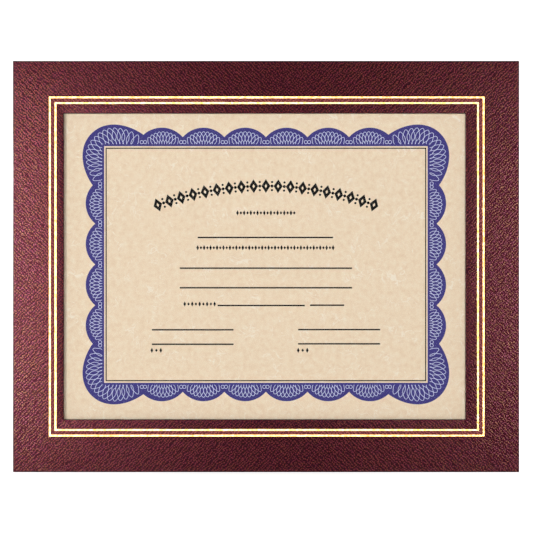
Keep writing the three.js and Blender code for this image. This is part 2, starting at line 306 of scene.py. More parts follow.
wave.texture = waves
wave.texture_coords = "LOCAL"
wave.direction = "Y"
wave.strength = 0.0002
thicken(leather, LEATHER, -1)
apply_modifiers(leather)
bpy.ops.object.shade_smooth_by_angle(angle=math.radians(35))

# The embossed grain: beaded ridges, whose slant turns from quarter to quarter of the panel as glints streak
ONE_BAND = math.pi / 10
RIDGE = 0.0018
CELL = 0.0012
SLANT = math.radians(45)
ROUND_EDGES = (0.6, 0.4)
PANEL_FOOT = Matrix.Rotation(LEAN, 3, "X") @ PANEL.translation
# Where the slant turns, a little right of and below the face's middle: the ridges run out from it as the
# glints on a lit cover do, a painted glint pattern in the grain's colour, gloss and bump.
GLINT_STREAK_RIGHT = 0.02
GLINT_STREAK_DOWN = 0.018
GLINT_STREAK_MIDDLE = PANEL_FOOT + Vector((GLINT_STREAK_RIGHT, 0, MIDDLE_Z - GLINT_STREAK_DOWN))
GLINT_STREAK_TURN = 0.005
GLINT_STREAK_SHARES = (0.3, 0.7)
BEAD_TOP = 0.4
BEAD_SHARE = 0.45
GRAIN_LOW = 0.34
GRAIN_HIGH = 0.71
HOLLOW_GLOSS = (0.38, 0.045, 0.1, 1)
RIDGE_GLOSS = [(0.41, (0.82, 0.31, 0.43)), (0.59, (0.88, 0.53, 0.3))]
# The colour stops of the two leatherettes: their own reds, with painted shade and light, the darkest stops
# darkening the grain's hollows and the lightest lighting its ridges.
BURGUNDY_AND_GRAIN_SHADE = [(0.12, (0.002, 0.0002, 0.001)), (0.5, (0.022, 0.0012, 0.0055)), (0.9, (0.1, 0.01, 0.0125))]
PRESSED_RED_AND_GRAIN_SHADE = [(0.15, (0.11, 0.022, 0.026)), (0.5, (0.2, 0.046, 0.049)), (0.9, (0.32, 0.085, 0.078))]
FACE_DEPTH = 0.0004


def spread(tree, value, low, high, start=0.0, end=1.0):
    """Stretches a value that goes from start to end to one that goes from low to high."""
    node = add_node(tree, "ShaderNodeMapRange", From_Min=start, From_Max=end, To_Min=low, To_Max=high)
    tree.links.new(value, node.inputs["Value"])
    return node.outputs["Result"]


def roughen(tree, shader, value, at_low, at_high):
    """Roughness that follows a pattern, from one level where its value is 0 to another where it is 1."""
    tree.links.new(spread(tree, value, at_low, at_high), shader.inputs["Roughness"])


def together(tree, operation, first, second):
    """One value worked out from two others, point by point."""
    node = tree.nodes.new("ShaderNodeMath")
    node.operation = operation
    tree.links.new(first, node.inputs[0])
    tree.links.new(second, node.inputs[1])
    return node.outputs["Value"]


def vector_step(tree, operation, vector, amount=(0, 0, 0)):
    node = tree.nodes.new("ShaderNodeVectorMath")
    node.operation = operation
    node.inputs[1].default_value = amount
    tree.links.new(vector, node.inputs[0])
    return node.outputs


def across_and_up(tree, vector):
    """The x and the z of a place on the panel."""
    node = tree.nodes.new("ShaderNodeSeparateXYZ")
    tree.links.new(vector, node.inputs["Vector"])
    return node.outputs["X"], node.outputs["Z"]


def slanting(tree, where, slant):
    """Coordinates across and along lines at a slant over the panel, carried on round its edges."""
    cos, sin = math.cos(slant), math.sin(slant)
    rows = tree.nodes.new("ShaderNodeCombineXYZ")
    for axis, direction in (("X", (-sin, ROUND_EDGES[0], cos)), ("Y", (cos, ROUND_EDGES[1], sin))):
        reach = vector_step(tree, "DOT_PRODUCT", where, direction)
        tree.links.new(reach["Value"], rows.inputs[axis])
    return rows.outputs["Vector"]


def blended(tree, first, second, share=0.5):
    """Two heights mixed, with that share of the second, or the one that is linked to Factor."""
    node = add_node(tree, "ShaderNodeMix", Factor=share)
    tree.links.new(first, node.inputs["A"])
    tree.links.new(second, node.inputs["B"])
    return node


def colour_mix(tree, share):
    """Two colours mixed, A and B, with a share of B that goes from point to point."""
    node = tree.nodes.new("ShaderNodeMix")
    node.data_type = "RGBA"
    tree.links.new(share, node.inputs["Factor"])
    return node


def grained_hide(name, stops, hollows, ridges):
    """Beaded ridges that cross, one way stronger than the other in each quarter, with painted shade between
    them and painted light on them.
    """
    material, tree, shader = new_material(name)
    where = object_coordinates(tree)
    from_middle = vector_step(tree, "SUBTRACT", where, GLINT_STREAK_MIDDLE)["Vector"]
    # Which quarter of the face a point is in, round the point the painted glint streaks run out from
    quarter = together(tree, "MULTIPLY", *across_and_up(tree, from_middle))
    lines = []
    for slant in (-SLANT, SLANT):
        wave = add_node(tree, "ShaderNodeTexWave", Scale=ONE_BAND / RIDGE, Distortion=6.0, Detail=1,
                        Detail_Scale=1.6)
        tree.links.new(slanting(tree, where, slant), wave.inputs["Vector"])
        lines.append(wave.outputs["Fac"])
    crossed = blended(tree, *lines)
    tree.links.new(spread(tree, quarter, *GLINT_STREAK_SHARES, -GLINT_STREAK_TURN, GLINT_STREAK_TURN), crossed.inputs["Factor"])
    beads = add_node(tree, "ShaderNodeTexVoronoi", Scale=1 / CELL)
    beads.voronoi_dimensions = "2D"
    beads.feature = "DISTANCE_TO_EDGE"
    tree.links.new(slanting(tree, where, SLANT), beads.inputs["Vector"])
    round_beads = spread(tree, beads.outputs["Distance"], 0, 1, end=BEAD_TOP)
    beaded = blended(tree, crossed.outputs["Result"], round_beads, BEAD_SHARE)
    grain = spread(tree, beaded.outputs["Result"], 0, 1, GRAIN_LOW, GRAIN_HIGH)
    # Painted shade in the hollows and painted light on the ridges, from the colour stops
    tint(tree, shader, grain, stops)
    roughen(tree, shader, grain, hollows, ridges)
    shader.inputs["Specular IOR Level"].default_value = 0.28
    tinge = colour_mix(tree, grain)
    tinge.inputs["A"].default_value = HOLLOW_GLOSS
    tree.links.new(ramp(tree, noise(tree, where, scale=640, detail=1), RIDGE_GLOSS), tinge.inputs["B"])
    tree.links.new(tinge.outputs["Result"], shader.inputs["Specular Tint"])
    bump(tree, shader, grain, distance=0.00004)
    return material


def between_rules(middle):
    return middle.y < FACE_DEPTH and RULE_W / 2 < outside_inner_rule(middle) < RULE_GAP - RULE_W / 2


leather.data.materials.append(grained_hide("burgundy_leatherette", BURGUNDY_AND_GRAIN_SHADE, hollows=0.33, ridges=0.15))
leather.data.materials.append(grained_hide("pressed_leatherette", PRESSED_RED_AND_GRAIN_SHADE, hollows=0.66, ridges=0.5))
edit(leather)
pick(leather, "FACE", between_rules)
leather.active_material_index = 1
bpy.ops.object.material_slot_assign()
leave_edit()
settle(leather, PANEL)
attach(leather, "frame")
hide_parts("front_cover")

# Gold rules: two rectangles of metal foil, hot-stamped into the grooves, so that the foil follows the
# grain and breaks up a little over it.
FOIL_GOLDS = [(0.32, (0.72, 0.34, 0.06)), (0.45, (0.96, 0.6, 0.19)), (0.62, (0.98, 0.77, 0.42))]
gold, tree, shader = new_material("stamped_gold")
stamp = noise(tree, object_coordinates(tree), scale=480, detail=3, roughness=0.65)
tint(tree, shader, stamp, FOIL_GOLDS)
shader.inputs["Metallic"].default_value = 1
shader.inputs["Roughness"].default_value = 0.65
bump(tree, shader, stamp, distance=0.0003, strength=0.6)
dress_node("gold_rule_outer", gold)
dress_node("gold_rule_inner", gold)

# Back panel and easel papers: a plain pale paper pasted on the board inside the pocket, and black paper
# with a fine pebbled embossing pasted over the back of the board and on both of the easel's boards.
LINING_CREAMS = [(0.3, (0.58, 0.55, 0.48)), (0.7, (0.76, 0.73, 0.66))]
lining, tree, shader = new_material("lining_paper")
fibre = noise(tree, object_coordinates(tree), scale=700, detail=5, roughness=0.7)
tint(tree, shader, fibre, LINING_CREAMS)
shader.inputs["Roughness"].default_value = 0.85
dress_node("back_lining", lining)

# The paper's own black, with painted shade: darker at the pebbles' edges, in the creases between them, and
# lighter on their tops.
BLACKS_AND_CREASE_SHADE = [(0.1, (0.019, 0.018, 0.019)), (0.8, (0.004, 0.004, 0.005))]
black_paper, tree, shader = new_material("black_embossed_paper")
where = object_coordinates(tree)
pebble = add_node(tree, "ShaderNodeTexVoronoi", Scale=560, Randomness=0.9)
tree.links.new(where, pebble.inputs["Vector"])
tint(tree, shader, pebble.outputs["Distance"], BLACKS_AND_CREASE_SHADE)
roughen(tree, shader, noise(tree, where, scale=40, detail=3), at_low=0.45, at_high=0.62)
shader.inputs["Specular IOR Level"].default_value = 0.3
bump(tree, shader, spread(tree, pebble.outputs["Distance"], 1, 0), distance=0.0002, strength=0.7)
for paper in ("back_cover", "easel_flap_paper", "easel_leg_inner_paper", "easel_leg_outer_paper"):
    dress_node(paper, black_paper)

# Certificate: a letter-size sheet of mottled parchment paper with slightly rounded corners. It isn't
# fixed: it slides into the pocket from the open side, behind the clear face sheet.
SHEET_W = 0.2794
SHEET_H = 0.2159
SHEET_SHIFT = -0.0003
PAPER_Y = 0.0039
PAPER_T = 0.00025
CORNER_ROUND = 0.0006
PARCHMENT = [(0.3, (0.79, 0.59, 0.405)), (0.5, (0.845, 0.677, 0.488)), (0.72, (0.885, 0.765, 0.59))]
FLECK = (0.91, 0.81, 0.67, 1)
VEIN_LEVEL = 0.5
VEIN_HALF_WIDTH = 0.014
FLECKED_FROM = 0.47
FLECKED_TO = 0.6
FLECK_STRENGTH = 0.75
certificate = upright_plane("certificate_paper", SHEET_W, SHEET_H, SHEET_SHIFT, PAPER_Y)
edit(certificate)
bpy.ops.mesh.select_all(action="SELECT")
bpy.ops.mesh.bevel(offset=CORNER_ROUND, segments=3, affect="VERTICES")
leave_edit()
thicken(certificate, PAPER_T, -1)
apply_modifiers(certificate)
settle(certificate, PANEL)

parchment, tree, shader = new_material("parchment")
where = object_coordinates(tree)
vein = tree.nodes.new("ShaderNodeMath")
vein.operation = "COMPARE"
vein.inputs[1].default_value = VEIN_LEVEL
vein.inputs[2].default_value = VEIN_HALF_WIDTH
tree.links.new(noise(tree, where, scale=100, detail=3, distortion=1.2), vein.inputs[0])
flecked = spread(tree, noise(tree, where, scale=75), 0, FLECK_STRENGTH, FLECKED_FROM, FLECKED_TO)
mottle = colour_mix(tree, together(tree, "MULTIPLY", vein.outputs["Value"], flecked))
cloud = noise(tree, where, scale=260, detail=6, roughness=0.75)
tree.links.new(ramp(tree, cloud, PARCHMENT), mottle.inputs["A"])
mottle.inputs["B"].default_value = FLECK
tree.links.new(mottle.outputs["Result"], shader.inputs["Base Color"])
shader.inputs["Roughness"].default_value = 0.8
shader.inputs["Specular IOR Level"].default_value = 0.05
certificate.data.materials.append(parchment)
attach(certificate, "certificate")
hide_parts("certificate")

# Printed border: a blue band with scalloped outside edges and a round lobe at each corner, as on
# traditional certificate stock, round a plain rectangle with a hairline inside it. It is ink on the
# paper, and its sizes are in mm from the middle of the print.
PRINT_X = -0.0001
PRINT_UP = 0.00135
PRINT_Z = MIDDLE_Z + PRINT_UP
MM_PER_M = 1000
INK_LIFT = 0.00001
BAND_HALF = (107.75, 78.83)
HAIRLINE_HALF = (106.43, 77.41)
HAIRLINE_W = 0.75
CREST = 12.3
CUSP = 5.97
TOP_CUSPS = (-81.6, -55.4, -27.7, 0, 27.7, 55.4, 81.6)
SIDE_CUSPS = (-52.8, -27.2, 0, 27.2, 52.8)
LOBE_CUSP = 7.6
LOBE_R = 20.1
LOBE_IN = 5.77
LOBE_ROUND = 30
LOBE_SPAN = 99
LOBE_STEPS = 44
CORNER_DIAGONAL = 45
TAIL_SPAN = 71.8
TAIL_OUT = 4.3
TAIL_CURVE = 2.8
BLUE_INK = (0.052, 0.044, 0.208)
BROWN_INK = (0.035, 0.022, 0.018)


def ink(name, base, variation):
    """Printing ink: a thin matt film that lets a little of the paper's fibres through."""
    material, tree, shader = new_material(name)
    low = [c * (1 - variation) for c in base]
    high = [c * (1 + variation) for c in base]
    uneven = noise(tree, object_coordinates(tree), scale=1500, detail=3, roughness=0.7)
    tint(tree, shader, uneven, [(0.3, low), (0.7, high)])
    shader.inputs["Roughness"].default_value = 0.7
    shader.inputs["Specular IOR Level"].default_value = 0.05
    return material


def drawn_curve(name, dimensions, paths, closed):
    """A curve of straight-sided lines, one for each list of (x, y) points."""
    curve = bpy.data.curves.new(name, "CURVE")
    curve.dimensions = dimensions
    for path in paths:
        line = curve.splines.new("POLY")
        line.points.add(len(path) - 1)
        line.use_cyclic_u = closed
        for point, (x, y) in zip(line.points, path):
            point.co = (x / MM_PER_M, y / MM_PER_M, 0, 1)
    return curve


def printed_mesh(name, curve):
    piece = bpy.data.objects.new(name, curve)
    bpy.context.collection.objects.link(piece)
    select_only(piece)
    bpy.ops.object.convert(target="MESH")
    return bpy.context.object


def place_print(piece, material, lift):
    on_paper = Matrix.Translation((PRINT_X, PAPER_Y - lift, PRINT_Z)) @ Matrix.Rotation(math.pi / 2, 4, "X")
    settle(piece, PANEL @ on_paper)
    piece.data.materials.clear()
    piece.data.materials.append(material)
    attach(piece, "certificate")


def print_flat(name, outlines, material):
    """Ink on the face of the paper, filled inside closed outlines (and not inside their holes)."""
    curve = drawn_curve(name, "2D", outlines, True)
    curve.fill_mode = "BOTH"
    place_print(printed_mesh(name, curve), material, INK_LIFT)


def arc_radius(chord, rise):
    return chord * chord / (8 * rise) + rise / 2


def arc_over(start, end, crest, steps=14):
    """Points of a circular arc over a chord along u, from start to end, (u, v) each, up to crest."""
    u0, v0 = start
    u1, v1 = end
    chord = math.hypot(u1 - u0, v1 - v0)
    rise = crest - (v0 + v1) / 2
    radius = arc_radius(chord, rise)
    half = math.asin(chord / 2 / radius)
    along = Vector((u1 - u0, v1 - v0)).normalized()
    up = Vector((-along.y, along.x))
    centre = Vector(((u0 + u1) / 2, (v0 + v1) / 2)) + up * (rise - radius)
    angles = [half - 2 * half * i / steps for i in range(steps)]
    return [tuple(centre - along * radius * math.sin(a) + up * radius * math.cos(a)) for a in angles]


def lobe_edge(turn):
    """How far the edge of a corner lobe is from its middle, at an angle from the corner's diagonal."""
    swing = max(0, (abs(turn) - LOBE_ROUND) / TAIL_SPAN)
    return LOBE_R + TAIL_OUT * swing ** TAIL_CURVE


def lobe():
    """Top right corner of the band: a tail from the last top cusp, a round lobe, a tail to the side."""
    middle_x, middle_y = (half - LOBE_IN for half in BAND_HALF)
    points = [(TOP_CUSPS[-1], BAND_HALF[1] + LOBE_CUSP)]
    for i in range(LOBE_STEPS + 1):
        turn = LOBE_SPAN - 2 * LOBE_SPAN * i / LOBE_STEPS
        angle = math.radians(CORNER_DIAGONAL + turn)
        reach = lobe_edge(turn)
        points.append((middle_x + reach * math.cos(angle), middle_y + reach * math.sin(angle)))
    return points


def quarter_turn(points, turns):
    for _ in range(turns):
        points = [(y, -x) for x, y in points]
    return points


def rectangle(half_x, half_y):
    return [(-half_x, -half_y), (half_x, -half_y), (half_x, half_y), (-half_x, half_y)]


# The outline runs clockwise: the top's scallops and the top right lobe, then the same for each side
half_w, half_h = BAND_HALF
outline = []
for turns in range(4):
    along_top = turns % 2 == 0
    cusps = TOP_CUSPS if along_top else SIDE_CUSPS
    base = half_h if along_top else half_w
    ends = (0, len(cusps) - 1)
    heights = [base + (LOBE_CUSP if i in ends else CUSP) for i in range(len(cusps))]
    run = []
    for i in range(len(cusps) - 1):
        run += arc_over((cusps[i], heights[i]), (cusps[i + 1], heights[i + 1]), base + CREST)
    corner = lobe()
    if not along_top:
        corner = [(y, x) for x, y in reversed(corner[1:])]
        corner = [(cusps[-1], base + LOBE_CUSP), *corner]
    outline += quarter_turn(run + corner, turns)
border_blue = ink("border_blue", BLUE_INK, variation=0.12)
print_flat("certificate_border", [outline, rectangle(half_w, half_h)], border_blue)
hairline = []
for grow in (HAIRLINE_W / 2, -HAIRLINE_W / 2):
    hairline.append(rectangle(*(half + grow for half in HAIRLINE_HALF)))
print_flat("certificate_hairline", hairline, ink("hairline_brown", BROWN_INK, variation=0.2))

# Engine-turned pattern in the border: fans of fine pale loops that cross each other, one fan to a
# scallop and a wider one to each corner lobe, all pointing to the middle of the arc over them. A loop's
# shape is how far down from its tip each point is and how wide the loop is there, as shares.
LOOP_LINE = 0.34
LOOP_SHAPE = (
    (0, 0), (0.015, 0.14), (0.035, 0.22), (0.065, 0.3), (0.11, 0.4), (0.17, 0.5), (0.25, 0.66),
    (0.33, 0.82), (0.4, 0.93), (0.47, 0.985), (0.54, 1.0), (0.6, 0.985), (0.66, 0.93), (0.72, 0.8),
    (0.77, 0.65), (0.82, 0.55), (0.88, 0.5), (1, 0.48), (1.15, 0.47),
)
LATHE_LIFT = 0.00002
CROSSING_LIFT = 0.000004
CROSSING_LEVELS = 4
BAND_STRIPE = 1.35
SIDE_LOOPS = 4
SIDE_STEP = 10.4
SIDE_MARGIN = 2.6
SIDE_REACH = 8.4
SIDE_DEPTH = 10.5
LOBE_LOOPS = 8
LOBE_STEP = 12.1
LOBE_MARGIN = 2.25
LOBE_REACH = 10.9
LOBE_DIP = 0.9
LOBE_DIP_SPAN = 40
FAN_IN = 13.0
CUSP_RING = 1.1
CUSP_RING_UP = 2.7
CUSP_RING_POINTS = 18
PALE_INK = (0.6, 0.63, 0.82)


def ink_lines(name, paths, closed=False):
    """Flat lines of ink along lists of (x, y) points, each a little over the one before it."""
    curve = drawn_curve(name, "3D", paths, closed)
    curve.twist_mode = "Z_UP"
    curve.extrude = LOOP_LINE / 2 / MM_PER_M
    for i, line in enumerate(curve.splines):
        for point in line.points:
            point.co.z = CROSSING_LIFT * (i % CROSSING_LEVELS)
            point.tilt = math.pi / 2
    return printed_mesh(name, curve)


def loop_fan(name, tips, step, reach):
    """Open loops that point to the origin, one for each tip (x, y)."""
    paths = []
    for tip_x, tip_y in tips:
        angle, tip = math.degrees(math.atan2(tip_x, tip_y)), math.hypot(tip_x, tip_y)
        half = [(step * wide, tip - reach * down) for down, wide in LOOP_SHAPE]
        turns = [(angle - a, r) for a, r in reversed(half[1:])] + [(angle + a, r) for a, r in half]
        paths.append([(r * math.sin(math.radians(a)), r * math.cos(math.radians(a))) for a, r in turns])
    return ink_lines(name, paths)


def trim(piece, x, y, keep):
    """Cuts away what lies behind a line through x and y, on the side away from keep."""
    edit(piece)
    bpy.ops.mesh.select_all(action="SELECT")
    bpy.ops.mesh.bisect(plane_co=(x / MM_PER_M, y / MM_PER_M, 0), plane_no=(*keep, 0), clear_inner=True)
    leave_edit()


def copy_of(piece, name):
    select_only(piece)
    bpy.ops.object.duplicate()
    bpy.context.object.name = bpy.context.object.data.name = name
    return bpy.context.object


def place_fan(fan, x, y, turns):
    fan.location = (x / MM_PER_M, y / MM_PER_M, 0)
    bpy.ops.object.transform_apply(location=True, rotation=True, scale=True)
    fan.rotation_euler.z = -turns * math.pi / 2
    bpy.ops.object.transform_apply(location=True, rotation=True, scale=True)
    return fan


chord = TOP_CUSPS[4] - TOP_CUSPS[3]
scallop_radius = arc_radius(chord, CREST - CUSP)
tip_radius = scallop_radius - SIDE_MARGIN
tip_base = SIDE_DEPTH + CREST - scallop_radius
tips = []
for i in range(-SIDE_LOOPS, SIDE_LOOPS + 1):
    turn = math.radians(SIDE_STEP * i)
    tips.append((tip_radius * math.sin(turn), tip_base + tip_radius * math.cos(turn)))
spacing = math.degrees(math.atan2(*tips[SIDE_LOOPS + 1]))
side_fan = loop_fan("side_fan", tips, spacing, SIDE_REACH)
trim(side_fan, 0, SIDE_DEPTH + BAND_STRIPE, (0, 1))
trim(side_fan, -chord / 2, 0, (1, 0))
trim(side_fan, chord / 2, 0, (-1, 0))

lobe_middle = FAN_IN - LOBE_IN
tips = []
for i in range(-LOBE_LOOPS, LOBE_LOOPS + 1):
    turn = LOBE_STEP * i
    reach = lobe_edge(turn) - LOBE_MARGIN - LOBE_DIP * max(0, 1 - abs(turn) / LOBE_DIP_SPAN)
    angle = math.radians(CORNER_DIAGONAL + turn)
    tips.append((lobe_middle + reach * math.sin(angle), lobe_middle + reach * math.cos(angle)))
spacing = math.degrees(math.atan2(*tips[LOBE_LOOPS + 1]) - math.atan2(*tips[LOBE_LOOPS]))
lobe_fan = loop_fan("lobe_fan", tips, spacing, LOBE_REACH)
lobe_side = copy_of(lobe_fan, "lobe_side")
stripe = FAN_IN + BAND_STRIPE
trim(lobe_fan, 0, stripe, (0, 1))
trim(lobe_side, 0, stripe, (0, -1))
trim(lobe_side, stripe, 0, (1, 0))

ring_turns = [2 * math.pi * i / CUSP_RING_POINTS for i in range(CUSP_RING_POINTS)]
ring_path = [(CUSP_RING * math.cos(turn), CUSP_RING * math.sin(turn)) for turn in ring_turns]
cusp_ring = ink_lines("cusp_ring", [ring_path], closed=True)

fans = []
for turns in range(4):
    along_top = turns % 2 == 0
    cusps = TOP_CUSPS if along_top else SIDE_CUSPS
    across, up = (half_w, half_h) if along_top else (half_h, half_w)
    for cusp in cusps:
        for beside in (-CUSP_RING, CUSP_RING):
            ring = copy_of(cusp_ring, "cusp_loop")
            fans.append(place_fan(ring, cusp + beside, up + CUSP_RING_UP, turns))
    for start, end in zip(cusps, cusps[1:]):
        fan = copy_of(side_fan, "scallop_loops")
        fan.scale.x = (end - start) / chord
        fans.append(place_fan(fan, (start + end) / 2, up - SIDE_DEPTH, turns))
    for part in (lobe_fan, lobe_side):
        fans.append(place_fan(copy_of(part, "lobe_loops"), across - FAN_IN, up - FAN_IN, turns))
for part in (side_fan, lobe_fan, lobe_side, cusp_ring):
    bpy.data.objects.remove(part)
bpy.ops.object.select_all(action="DESELECT")
for fan in fans:
    fan.select_set(True)
bpy.context.view_layer.objects.active = fans[0]
bpy.ops.object.join()
lathe = bpy.context.object
lathe.name = lathe.data.name = "certificate_lathe_loops"
edit(lathe)
bpy.ops.mesh.select_mode(type="FACE")
bpy.ops.mesh.select_all(action="DESELECT")
leave_edit()
for face in lathe.data.polygons:
    face.select = face.normal.z < 0
edit(lathe)
bpy.ops.mesh.flip_normals()
leave_edit()
place_print(lathe, ink("lathe_pale", PALE_INK, variation=0.05), LATHE_LIFT)

# Rules to write on: thin lines in near-black ink, printed across the middle of the sheet. Each is given
# by its left end, its right end and its level, in the photograph's own pixels.
MM_PER_PIXEL = 0.6634
PRINT_MIDDLE = (265.5, 264.3)
WRITING_RULE_T = 0.98
WRITING_RULES = (
    (197, 333, 237.2), (179, 352, 268.0), (179, 352, 287.7), (217, 304.6, 305.5), (309.8, 344.1, 305.2),
    (151, 233, 329.9), (151, 233, 344.4), (297.8, 380.2, 329.7), (297.8, 380.2, 344.0),
)
BLACK_INK = (0.006, 0.005, 0.005)
brown_black = ink("line_black", BLACK_INK, variation=0.3)


def print_x(pixel):
    return (pixel - PRINT_MIDDLE[0]) * MM_PER_PIXEL


def print_z(pixel):
    return (PRINT_MIDDLE[1] - pixel) * MM_PER_PIXEL


ruled = []
for x0, x1, y in WRITING_RULES:
    low, high = (print_z(y) + side for side in (-WRITING_RULE_T / 2, WRITING_RULE_T / 2))
    ruled.append([(print_x(x0), low), (print_x(x1), low), (print_x(x1), high), (print_x(x0), high)])
print_flat("certificate_rules", ruled, brown_black)

# Printer's ornament: an arched chain of pierced lozenges and beads over the rules, and rows of small
# lozenges beside them, printed in the same ink. The rows are given as the rules are.
ARCH_R = 211.8
ARCH_LEVEL = 185.5
ARCH_HALF = 72.0
ARCH_COUNT = 19
LOZENGE = (3.0, 4.6)
LOZENGE_HOLE = (0.8, 1.35)
BEADS = ((-2.7, 0.75), (0, 1.0), (2.7, 0.75))
ROW_STEP = 2.1
ROW_LOZENGES = ((0.9, 1.75), (0.9, 1.1))
LOZENGE_ROWS = (
    (237, 294, 212.5), (197, 333, 247.5), (184, 214, 304), (151, 160, 350.5), (298, 307, 350.5),
)


def lozenge(x, z, half_x, half_z, tilt=0.0):
    corners = [(half_x, 0), (0, half_z), (-half_x, 0), (0, -half_z)]
    cos, sin = math.cos(tilt), math.sin(tilt)
    return [(x + cos * u - sin * v, z + sin * u + cos * v) for u, v in corners]


def bead(x, z, radius, points=14):
    turn = 2 * math.pi / points
    return [(x + radius * math.cos(turn * i), z + radius * math.sin(turn * i)) for i in range(points)]


marks = []
arch_reach = math.asin(ARCH_HALF / ARCH_R)
for i in range(2 * ARCH_COUNT - 1):
    angle = arch_reach * (i / (ARCH_COUNT - 1) - 1)
    x = ARCH_R * math.sin(angle)
    z = print_z(ARCH_LEVEL) - ARCH_R * (1 - math.cos(angle))
    if i % 2:
        for off, radius in BEADS:
            marks.append(bead(x + off * math.sin(angle), z + off * math.cos(angle), radius))
    else:
        for shape in (LOZENGE, LOZENGE_HOLE):
            marks.append(lozenge(x, z, *shape, -angle))
for x0, x1, y in LOZENGE_ROWS:
    left, right = print_x(x0), print_x(x1)
    count = max(2, round((right - left) / ROW_STEP))
    for i in range(count):
        marks.append(lozenge(left + (right - left) * i / (count - 1), print_z(y), *ROW_LOZENGES[i % 2]))
print_flat("certificate_ornament", marks, brown_black)

# Clear face sheet: stiff clear plastic of the same size as the paper, which slides in front of it. Its
# guillotined edges are a little hazy; the grey line they show when it is out of the pocket is painted
# shade, a grey band along the edges wider than the edges themselves.
EDGE_SHADE_BAND = 0.0016
EDGE_SHADE_FULL = 0.8
CLEAR_TO_EDGE_SHADE = [(0, (0.966, 0.973, 0.976)), (1, (0.34, 0.39, 0.42))]
FAINT_MIRROR = (0.045, 0.045, 0.045, 1)
clear, tree, shader = new_material("clear_sheet")
where = object_coordinates(tree)
sheet_middle = PANEL_FOOT + Vector((SHEET_SHIFT, 0, MIDDLE_Z))
from_middle = vector_step(tree, "SUBTRACT", where, sheet_middle)["Vector"]
either_side = vector_step(tree, "ABSOLUTE", from_middle)["Vector"]
past_edge = vector_step(tree, "SUBTRACT", either_side, (SHEET_W / 2, 0, SHEET_H / 2))["Vector"]
nearest = together(tree, "MAXIMUM", *across_and_up(tree, past_edge))
# Painted shade: the sheet turns grey over a band along its edges.
tint(tree, shader, spread(tree, nearest, 0, 1, -EDGE_SHADE_BAND, -EDGE_SHADE_FULL * EDGE_SHADE_BAND), CLEAR_TO_EDGE_SHADE)
roughen(tree, shader, noise(tree, where, scale=60, detail=3), at_low=0.02, at_high=0.04)
shader.inputs["IOR"].default_value = 1.49
shader.inputs["Specular Tint"].default_value = FAINT_MIRROR
shader.inputs["Transmission Weight"].default_value = 1
path = tree.nodes.new("ShaderNodeLightPath")
through = tree.nodes.new("ShaderNodeBsdfTransparent")
mix = tree.nodes.new("ShaderNodeMixShader")
passing = together(tree, "MAXIMUM", path.outputs["Is Shadow Ray"], path.outputs["Is Diffuse Ray"])
tree.links.new(passing, mix.inputs["Fac"])
tree.links.new(shader.outputs["BSDF"], mix.inputs[1])
tree.links.new(through.outputs["BSDF"], mix.inputs[2])
tree.links.new(mix.outputs["Shader"], tree.nodes["Material Output"].inputs["Surface"])
dress_node("face_sheet", clear)

# Cloth hinge of the easel: a strip of black book cloth glued across the fold between the flap and the
# leg, on their outer faces.
EASEL_FOLD = (0, 0.0103, 0.168)
FOLD_SLANT = math.pi / 4
EASEL = PANEL @ Matrix.Translation(EASEL_FOLD) @ Matrix.Rotation(FOLD_SLANT, 4, "Y")
LEG_OPEN = math.radians(35)
CLOTH_T = 0.0004
CLOTH_REACH = 0.016
CLOTH_W = 0.042
CLOTH_BLACK = (0.016, 0.015, 0.016)
GLUE = 0.0001
FOLD_ROUND = 0.0015
SHADE_BETWEEN_THREADS = 0.45


def distances(path):
    """How far along a line of points each of its points is."""
    lengths = [0.0]
    for start, end in zip(path, path[1:]):
        lengths.append(lengths[-1] + math.dist(start, end))
    return lengths


def strip_along(name, path, width, rows, columns):
    """A woven strip of that width laid along a line of (z, y) points, in metres, with its own UV map."""
    lengths = distances(path)
    bpy.ops.object.select_all(action="DESELECT")
    bpy.ops.mesh.primitive_grid_add(x_subdivisions=columns, y_subdivisions=rows, size=1)
    piece = bpy.context.object
    piece.name = piece.data.name = name
    for vertex in piece.data.vertices:
        along = (vertex.co.y + 0.5) * lengths[-1]
        i = max(k for k in range(len(path) - 1) if lengths[k] <= along + 1e-9)
        share = (along - lengths[i]) / (lengths[i + 1] - lengths[i])
        z = path[i][0] + share * (path[i + 1][0] - path[i][0])
        y = path[i][1] + share * (path[i + 1][1] - path[i][1])
        vertex.co = (vertex.co.x * width, y, z)
    return piece


def on_leg(z, y):
    """A point on the leg, in its own z and y, where it stands with the leg open."""
    cos, sin = math.cos(LEG_OPEN), math.sin(LEG_OPEN)
    return (z * cos + y * sin, y * cos - z * sin)


def rounded(points, steps=6):
    """The same line of (z, y) points with its inner corners rounded."""
    line = [points[0]]
    for before, corner, after in zip(points, points[1:], points[2:]):
        here = Vector(corner)
        start = here + (Vector(before) - here).normalized() * FOLD_ROUND
        end = here + (Vector(after) - here).normalized() * FOLD_ROUND
        for i in range(steps + 1):
            t = i / steps
            line.append(tuple(start * (1 - t) ** 2 + here * 2 * t * (1 - t) + end * t * t))
    return [*line, points[-1]]


def woven(name, base, warp, weft, depth):
    """Plain weave on the strip's own UV map: threads over and under each other, with painted shade between
    them.
    """
    material, tree, shader = new_material(name)
    uv = tree.nodes.new("ShaderNodeUVMap")
    heights = []
    for axis, threads in (("X", warp), ("Y", weft)):
        bands = add_node(tree, "ShaderNodeTexWave", Scale=threads * ONE_BAND, Distortion=0.4)
        bands.bands_direction = axis
        tree.links.new(uv.outputs["UV"], bands.inputs["Vector"])
        heights.append(bands.outputs["Fac"])
    over = together(tree, "MULTIPLY", *heights)
    # Painted shade: the colour darkens where the threads dip under each other.
    thread_shade = [c * SHADE_BETWEEN_THREADS for c in base]
    tint(tree, shader, over, [(0.1, thread_shade), (0.7, base)])
    shader.inputs["Roughness"].default_value = 0.75
    shader.inputs["Sheen Weight"].default_value = 0.25
    bump(tree, shader, over, depth)
    return material


